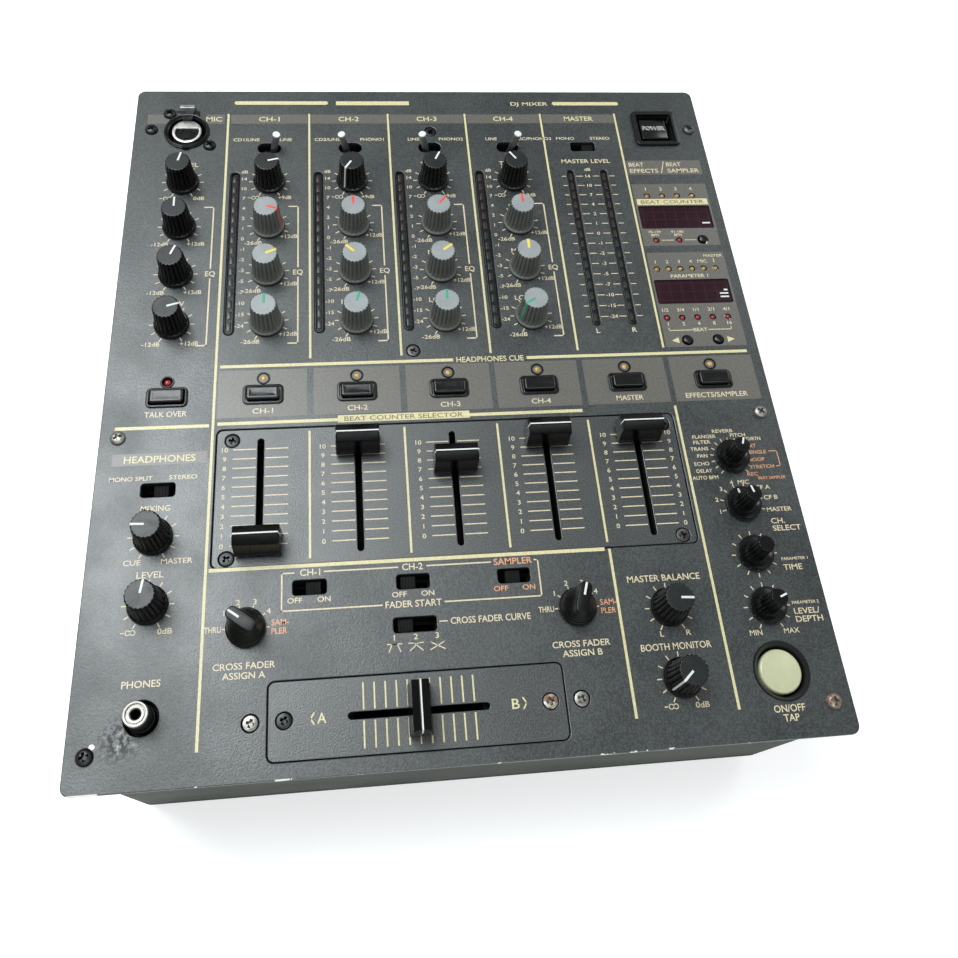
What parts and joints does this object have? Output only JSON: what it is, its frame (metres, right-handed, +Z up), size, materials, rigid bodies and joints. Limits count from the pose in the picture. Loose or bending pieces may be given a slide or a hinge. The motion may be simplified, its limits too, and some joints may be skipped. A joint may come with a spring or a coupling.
{
  "type": "dj mixer",
  "caption": "Tabletop audio mixer with rotary tone controls, sliding channel faders, crossfader, cue buttons and an effects section on a flat speckled panel.",
  "frame": {"origin": "on the table, under the centre of the control surface", "axes": "+X to the right-hand side, +Y to the rear with the connectors, +Z up out of the panel"},
  "size_m": [0.32, 0.36, 0.1073],
  "materials": {
    "panel_paint": "dark charcoal paint with a fine grey speckle, satin",
    "chassis_paint": "olive grey paint, satin, chipped along the front",
    "rear_paint": "dark grey paint, satin",
    "plate_paint": "grey speckled paint on the fader plates",
    "circuit_board": "green solder mask",
    "socket_black": "moulded black plastic",
    "knob_black": "moulded black plastic, fine grain",
    "knob_slate": "black body with a slate grey top",
    "knob_grey": "mid grey body with a pale grey top",
    "fader_black": "moulded black plastic",
    "lever_metal": "dark plated lever with a bright tip",
    "button_black": "moulded dark plastic",
    "glow_plastic": "translucent pale yellow-green plastic",
    "plated_metal": "bright nickel plating",
    "screw_metal": "zinc plated and blackened screws, some rusty",
    "print_gold": "pale gold screen print",
    "print_white": "cream white screen print",
    "print_orange": "orange screen print",
    "print_grey": "brown-grey printed bands",
    "lens_amber": "unlit amber lenses",
    "lens_red": "unlit red lenses",
    "display_red": "dark red display windows",
    "foot_rubber": "black rubber feet"
  },
  "bodies": {
    "housing": {"chassis": "chassis_paint", "rear_panel": "rear_paint", "top_panel": "panel_paint", "control_board": "circuit_board", "microphone_socket": "socket_black"},
    "microphone_level_knob_body": {"microphone_level_knob": "knob_black"},
    "microphone_hi_knob_body": {"microphone_hi_knob": "knob_black"},
    "microphone_mid_knob_body": {"microphone_mid_knob": "knob_black"},
    "microphone_low_knob_body": {"microphone_low_knob": "knob_black"},
    "channel_1_trim_knob_body": {"channel_1_trim_knob": "knob_slate"},
    "channel_1_hi_knob_body": {"channel_1_hi_knob": "knob_grey"},
    "channel_1_mid_knob_body": {"channel_1_mid_knob": "knob_grey"},
    "channel_1_low_knob_body": {"channel_1_low_knob": "knob_grey"},
    "channel_2_trim_knob_body": {"channel_2_trim_knob": "knob_slate"},
    "channel_2_hi_knob_body": {"channel_2_hi_knob": "knob_grey"},
    "channel_2_mid_knob_body": {"channel_2_mid_knob": "knob_grey"},
    "channel_2_low_knob_body": {"channel_2_low_knob": "knob_grey"},
    "channel_3_trim_knob_body": {"channel_3_trim_knob": "knob_slate"},
    "channel_3_hi_knob_body": {"channel_3_hi_knob": "knob_grey"},
    "channel_3_mid_knob_body": {"channel_3_mid_knob": "knob_grey"},
    "channel_3_low_knob_body": {"channel_3_low_knob": "knob_grey"},
    "channel_4_trim_knob_body": {"channel_4_trim_knob": "knob_slate"},
    "channel_4_hi_knob_body": {"channel_4_hi_knob": "knob_grey"},
    "channel_4_mid_knob_body": {"channel_4_mid_knob": "knob_grey"},
    "channel_4_low_knob_body": {"channel_4_low_knob": "knob_grey"},
    "headphones_mixing_knob_body": {"headphones_mixing_knob": "knob_black"},
    "headphones_level_knob_body": {"headphones_level_knob": "knob_black"},
    "master_balance_knob_body": {"master_balance_knob": "knob_black"},
    "booth_level_knob_body": {"booth_level_knob": "knob_black"},
    "crossfader_assign_a_knob_body": {"crossfader_assign_a_knob": "knob_black"},
    "crossfader_assign_b_knob_body": {"crossfader_assign_b_knob": "knob_black"},
    "effect_selector_knob_body": {"effect_selector_knob": "knob_black"},
    "effect_channel_knob_body": {"effect_channel_knob": "knob_black"},
    "effect_time_knob_body": {"effect_time_knob": "knob_black"},
    "effect_depth_knob_body": {"effect_depth_knob": "knob_black"},
    "channel_1_fader_body": {"channel_1_fader": "fader_black"},
    "channel_2_fader_body": {"channel_2_fader": "fader_black"},
    "channel_3_fader_body": {"channel_3_fader": "fader_black"},
    "channel_4_fader_body": {"channel_4_fader": "fader_black"},
    "master_fader_body": {"master_fader": "fader_black"},
    "crossfader_body": {"crossfader": "fader_black"},
    "channel_1_input_toggle_body": {"channel_1_input_toggle": "lever_metal"},
    "channel_2_input_toggle_body": {"channel_2_input_toggle": "lever_metal"},
    "channel_3_input_toggle_body": {"channel_3_input_toggle": "lever_metal"},
    "channel_4_input_toggle_body": {"channel_4_input_toggle": "lever_metal"},
    "talk_over_button_body": {"talk_over_button": "button_black"},
    "channel_1_cue_button_body": {"channel_1_cue_button": "button_black"},
    "channel_2_cue_button_body": {"channel_2_cue_button": "button_black"},
    "channel_3_cue_button_body": {"channel_3_cue_button": "button_black"},
    "channel_4_cue_button_body": {"channel_4_cue_button": "button_black"},
    "master_cue_button_body": {"master_cue_button": "button_black"},
    "effect_cue_button_body": {"effect_cue_button": "button_black"},
    "power_button_body": {"power_button": "button_black"},
    "effect_on_button_body": {"effect_on_button": "glow_plastic"},
    "master_mono_switch_body": {"master_mono_switch": "button_black"},
    "headphones_mono_switch_body": {"headphones_mono_switch": "button_black"},
    "fader_start_1_switch_body": {"fader_start_1_switch": "button_black"},
    "fader_start_2_switch_body": {"fader_start_2_switch": "button_black"},
    "fader_start_sampler_switch_body": {"fader_start_sampler_switch": "button_black"},
    "crossfader_curve_switch_body": {"crossfader_curve_switch": "button_black"}
  },
  "joints": [
    {"name": "microphone_level_knob_joint", "type": "hinge", "parent": "housing", "child": "microphone_level_knob_body", "pos_m": [-0.132, 0.1145, 0.09], "axis": [0, 0, 1], "range_deg": [-136, 164]},
    {"name": "microphone_hi_knob_joint", "type": "hinge", "parent": "housing", "child": "microphone_hi_knob_body", "pos_m": [-0.132, 0.0852, 0.09], "axis": [0, 0, 1], "range_deg": [-150, 150]},
    {"name": "microphone_mid_knob_joint", "type": "hinge", "parent": "housing", "child": "microphone_mid_knob_body", "pos_m": [-0.132, 0.0559, 0.09], "axis": [0, 0, 1], "range_deg": [-128, 172]},
    {"name": "microphone_low_knob_joint", "type": "hinge", "parent": "housing", "child": "microphone_low_knob_body", "pos_m": [-0.132, 0.0266, 0.09], "axis": [0, 0, 1], "range_deg": [-76, 224]},
    {"name": "channel_1_trim_knob_joint", "type": "hinge", "parent": "housing", "child": "channel_1_trim_knob_body", "pos_m": [-0.0868, 0.1145, 0.09], "axis": [0, 0, 1], "range_deg": [-74, 226]},
    {"name": "channel_1_hi_knob_joint", "type": "hinge", "parent": "housing", "child": "channel_1_hi_knob_body", "pos_m": [-0.0868, 0.0852, 0.09], "axis": [0, 0, 1], "range_deg": [-42, 258]},
    {"name": "channel_1_mid_knob_joint", "type": "hinge", "parent": "housing", "child": "channel_1_mid_knob_body", "pos_m": [-0.0868, 0.0559, 0.09], "axis": [0, 0, 1], "range_deg": [-84, 216]},
    {"name": "channel_1_low_knob_joint", "type": "hinge", "parent": "housing", "child": "channel_1_low_knob_body", "pos_m": [-0.0868, 0.0266, 0.09], "axis": [0, 0, 1], "range_deg": [-147, 153]},
    {"name": "channel_2_trim_knob_joint", "type": "hinge", "parent": "housing", "child": "channel_2_trim_knob_body", "pos_m": [-0.0428, 0.1145, 0.09], "axis": [0, 0, 1], "range_deg": [-296, 4]},
    {"name": "channel_2_hi_knob_joint", "type": "hinge", "parent": "housing", "child": "channel_2_hi_knob_body", "pos_m": [-0.0428, 0.0852, 0.09], "axis": [0, 0, 1], "range_deg": [-150, 150]},
    {"name": "channel_2_mid_knob_joint", "type": "hinge", "parent": "housing", "child": "channel_2_mid_knob_body", "pos_m": [-0.0428, 0.0559, 0.09], "axis": [0, 0, 1], "range_deg": [-194, 106]},
    {"name": "channel_2_low_knob_joint", "type": "hinge", "parent": "housing", "child": "channel_2_low_knob_body", "pos_m": [-0.0428, 0.0266, 0.09], "axis": [0, 0, 1], "range_deg": [-133, 167]},
    {"name": "channel_3_trim_knob_joint", "type": "hinge", "parent": "housing", "child": "channel_3_trim_knob_body", "pos_m": [0.0012, 0.1145, 0.09], "axis": [0, 0, 1], "range_deg": [-123, 177]},
    {"name": "channel_3_hi_knob_joint", "type": "hinge", "parent": "housing", "child": "channel_3_hi_knob_body", "pos_m": [0.0012, 0.0852, 0.09], "axis": [0, 0, 1], "range_deg": [-112, 188]},
    {"name": "channel_3_mid_knob_joint", "type": "hinge", "parent": "housing", "child": "channel_3_mid_knob_body", "pos_m": [0.0012, 0.0559, 0.09], "axis": [0, 0, 1], "range_deg": [-97, 203]},
    {"name": "channel_3_low_knob_joint", "type": "hinge", "parent": "housing", "child": "channel_3_low_knob_body", "pos_m": [0.0012, 0.0266, 0.09], "axis": [0, 0, 1], "range_deg": [-148, 152]},
    {"name": "channel_4_trim_knob_joint", "type": "hinge", "parent": "housing", "child": "channel_4_trim_knob_body", "pos_m": [0.0452, 0.1145, 0.09], "axis": [0, 0, 1], "range_deg": [-184, 116]},
    {"name": "channel_4_hi_knob_joint", "type": "hinge", "parent": "housing", "child": "channel_4_hi_knob_body", "pos_m": [0.0452, 0.0852, 0.09], "axis": [0, 0, 1], "range_deg": [-149, 151]},
    {"name": "channel_4_mid_knob_joint", "type": "hinge", "parent": "housing", "child": "channel_4_mid_knob_body", "pos_m": [0.0452, 0.0559, 0.09], "axis": [0, 0, 1], "range_deg": [-150, 150]},
    {"name": "channel_4_low_knob_joint", "type": "hinge", "parent": "housing", "child": "channel_4_low_knob_body", "pos_m": [0.0452, 0.0266, 0.09], "axis": [0, 0, 1], "range_deg": [-272, 28]},
    {"name": "headphones_mixing_knob_joint", "type": "hinge", "parent": "housing", "child": "headphones_mixing_knob_body", "pos_m": [-0.1328, -0.0798, 0.09], "axis": [0, 0, 1], "range_deg": [-237, 63]},
    {"name": "headphones_level_knob_joint", "type": "hinge", "parent": "housing", "child": "headphones_level_knob_body", "pos_m": [-0.1328, -0.1091, 0.09], "axis": [0, 0, 1], "range_deg": [-141, 159]},
    {"name": "master_balance_knob_joint", "type": "hinge", "parent": "housing", "child": "master_balance_knob_body", "pos_m": [0.0882, -0.1234, 0.09], "axis": [0, 0, 1], "range_deg": [-56, 244]},
    {"name": "booth_level_knob_joint", "type": "hinge", "parent": "housing", "child": "booth_level_knob_body", "pos_m": [0.0882, -0.1529, 0.09], "axis": [0, 0, 1], "range_deg": [-281, 19]},
    {"name": "crossfader_assign_a_knob_joint", "type": "hinge", "parent": "housing", "child": "crossfader_assign_a_knob_body", "pos_m": [-0.0925, -0.121, 0.09], "axis": [0, 0, 1], "range_deg": [-144, 36]},
    {"name": "crossfader_assign_b_knob_joint", "type": "hinge", "parent": "housing", "child": "crossfader_assign_b_knob_body", "pos_m": [0.0477, -0.121, 0.09], "axis": [0, 0, 1], "range_deg": [-72, 108]},
    {"name": "effect_selector_knob_joint", "type": "hinge", "parent": "housing", "child": "effect_selector_knob_body", "pos_m": [0.1322, -0.055, 0.09], "axis": [0, 0, 1], "range_deg": [-120, 160]},
    {"name": "effect_channel_knob_joint", "type": "hinge", "parent": "housing", "child": "effect_channel_knob_body", "pos_m": [0.1322, -0.0786, 0.09], "axis": [0, 0, 1], "range_deg": [-120, 90]},
    {"name": "effect_time_knob_joint", "type": "hinge", "parent": "housing", "child": "effect_time_knob_body", "pos_m": [0.1322, -0.1021, 0.09], "axis": [0, 0, 1], "continuous": true},
    {"name": "effect_depth_knob_joint", "type": "hinge", "parent": "housing", "child": "effect_depth_knob_body", "pos_m": [0.1322, -0.1256, 0.09], "axis": [0, 0, 1], "range_deg": [-82, 218]},
    {"name": "channel_1_fader_joint", "type": "slide", "parent": "housing", "child": "channel_1_fader_body", "axis": [0, 1, 0], "range_m": [0, 0.045]},
    {"name": "channel_2_fader_joint", "type": "slide", "parent": "housing", "child": "channel_2_fader_body", "axis": [0, 1, 0], "range_m": [-0.045, 0]},
    {"name": "channel_3_fader_joint", "type": "slide", "parent": "housing", "child": "channel_3_fader_body", "axis": [0, 1, 0], "range_m": [-0.03375, 0.01125]},
    {"name": "channel_4_fader_joint", "type": "slide", "parent": "housing", "child": "channel_4_fader_body", "axis": [0, 1, 0], "range_m": [-0.045, 0]},
    {"name": "master_fader_joint", "type": "slide", "parent": "housing", "child": "master_fader_body", "axis": [0, 1, 0], "range_m": [-0.045, 0]},
    {"name": "crossfader_joint", "type": "slide", "parent": "housing", "child": "crossfader_body", "axis": [1, 0, 0], "range_m": [-0.0225, 0.0225]},
    {"name": "channel_1_input_toggle_joint", "type": "hinge", "parent": "housing", "child": "channel_1_input_toggle_body", "pos_m": [-0.0872, 0.1379, 0.077], "axis": [0, 1, 0], "range_deg": [-22, 0]},
    {"name": "channel_2_input_toggle_joint", "type": "hinge", "parent": "housing", "child": "channel_2_input_toggle_body", "pos_m": [-0.0432, 0.1379, 0.077], "axis": [0, 1, 0], "range_deg": [0, 22]},
    {"name": "channel_3_input_toggle_joint", "type": "hinge", "parent": "housing", "child": "channel_3_input_toggle_body", "pos_m": [0.0008, 0.1379, 0.077], "axis": [0, 1, 0], "range_deg": [0, 22]},
    {"name": "channel_4_input_toggle_joint", "type": "hinge", "parent": "housing", "child": "channel_4_input_toggle_body", "pos_m": [0.0448, 0.1379, 0.077], "axis": [0, 1, 0], "range_deg": [-22, 0]},
    {"name": "talk_over_button_joint", "type": "slide", "parent": "housing", "child": "talk_over_button_body", "axis": [0, 0, 1], "range_m": [-0.0015, 0], "stiffness_N_per_m": 300, "springref_m": 0.0005},
    {"name": "channel_1_cue_button_joint", "type": "slide", "parent": "housing", "child": "channel_1_cue_button_body", "axis": [0, 0, 1], "range_m": [-0.0015, 0], "stiffness_N_per_m": 300, "springref_m": 0.0005},
    {"name": "channel_2_cue_button_joint", "type": "slide", "parent": "housing", "child": "channel_2_cue_button_body", "axis": [0, 0, 1], "range_m": [-0.0015, 0], "stiffness_N_per_m": 300, "springref_m": 0.0005},
    {"name": "channel_3_cue_button_joint", "type": "slide", "parent": "housing", "child": "channel_3_cue_button_body", "axis": [0, 0, 1], "range_m": [-0.0015, 0], "stiffness_N_per_m": 300, "springref_m": 0.0005},
    {"name": "channel_4_cue_button_joint", "type": "slide", "parent": "housing", "child": "channel_4_cue_button_body", "axis": [0, 0, 1], "range_m": [-0.0015, 0], "stiffness_N_per_m": 300, "springref_m": 0.0005},
    {"name": "master_cue_button_joint", "type": "slide", "parent": "housing", "child": "master_cue_button_body", "axis": [0, 0, 1], "range_m": [-0.0015, 0], "stiffness_N_per_m": 300, "springref_m": 0.0005},
    {"name": "effect_cue_button_joint", "type": "slide", "parent": "housing", "child": "effect_cue_button_body", "axis": [0, 0, 1], "range_m": [-0.0015, 0], "stiffness_N_per_m": 300, "springref_m": 0.0005},
    {"name": "power_button_joint", "type": "slide", "parent": "housing", "child": "power_button_body", "axis": [0, 0, 1], "range_m": [-0.003, 0], "stiffness_N_per_m": 400, "springref_m": 0.001},
    {"name": "effect_on_button_joint", "type": "slide", "parent": "housing", "child": "effect_on_button_body", "axis": [0, 0, 1], "range_m": [-0.0015, 0], "stiffness_N_per_m": 400, "springref_m": 0.0005},
    {"name": "master_mono_switch_joint", "type": "slide", "parent": "housing", "child": "master_mono_switch_body", "axis": [1, 0, 0], "range_m": [-0.0036, 0]},
    {"name": "headphones_mono_switch_joint", "type": "slide", "parent": "housing", "child": "headphones_mono_switch_body", "axis": [1, 0, 0], "range_m": [-0.0036, 0]},
    {"name": "fader_start_1_switch_joint", "type": "slide", "parent": "housing", "child": "fader_start_1_switch_body", "axis": [1, 0, 0], "range_m": [-0.0036, 0]},
    {"name": "fader_start_2_switch_joint", "type": "slide", "parent": "housing", "child": "fader_start_2_switch_body", "axis": [1, 0, 0], "range_m": [0, 0.0036]},
    {"name": "fader_start_sampler_switch_joint", "type": "slide", "parent": "housing", "child": "fader_start_sampler_switch_body", "axis": [1, 0, 0], "range_m": [0, 0.0036]},
    {"name": "crossfader_curve_switch_joint", "type": "slide", "parent": "housing", "child": "crossfader_curve_switch_body", "axis": [1, 0, 0], "range_m": [0, 0.008]}
  ]
}
